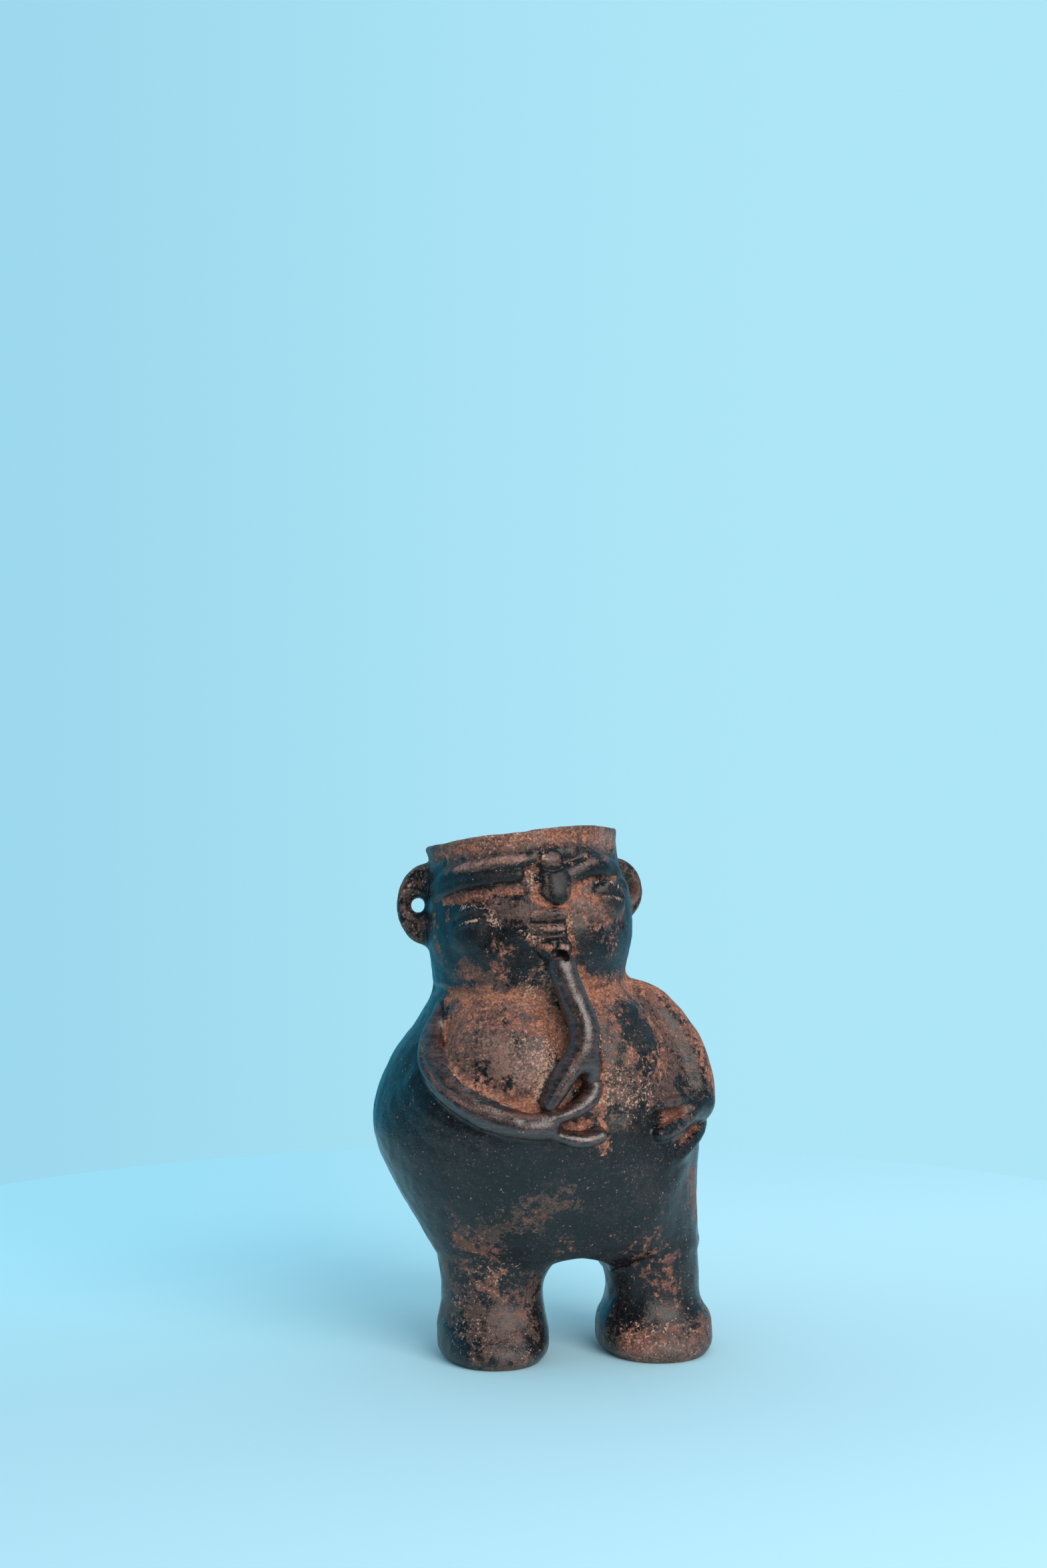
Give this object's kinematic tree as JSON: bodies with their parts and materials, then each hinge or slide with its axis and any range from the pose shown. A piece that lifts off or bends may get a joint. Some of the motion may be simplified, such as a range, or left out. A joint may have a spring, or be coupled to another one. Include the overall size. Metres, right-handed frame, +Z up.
{
  "type": "figural vessel",
  "caption": "Hand-built clay effigy vessel: a standing figure on two hollow legs, open at the head, with pierced ear lugs and a flute held to the chin.",
  "frame": {"origin": "on the ground, under the middle of the whole vessel's box", "axes": "+Z up, the figure faces -Y, its left side is at +X"},
  "size_m": [0.1292, 0.1114, 0.2009],
  "materials": {
    "burnished_black": "burnished near-black slip, worn to brown",
    "red_worn": "red-brown clay where the black surface has worn off",
    "brown_matte": "matte brown clay with soil deposit",
    "polished_highlight": "raised coils, polished by handling"
  },
  "bodies": {
    "root": {"lower_body": "burnished_black", "upper_body": "burnished_black", "head_wall": "burnished_black", "rim_collar": "red_worn", "right_leg": "brown_matte", "left_leg": "brown_matte", "right_foot": "brown_matte", "left_foot": "brown_matte", "right_ear": "burnished_black", "left_ear": "burnished_black", "headband": "red_worn", "right_brow": "burnished_black", "left_brow": "burnished_black", "forehead_knob": "brown_matte", "nose": "burnished_black", "right_eye": "burnished_black", "left_eye": "burnished_black", "upper_lip": "burnished_black", "lower_lip": "burnished_black", "chin_boss": "brown_matte", "flute": "polished_highlight", "right_thumb": "polished_highlight", "right_upper_finger": "polished_highlight", "right_arm": "polished_highlight", "right_lower_finger": "polished_highlight", "right_breast": "red_worn", "left_breast": "red_worn", "left_arm": "red_worn", "left_hand": "red_worn", "left_finger_1": "burnished_black", "left_finger_2": "red_worn", "left_finger_3": "brown_matte"}
  },
  "joints": []
}
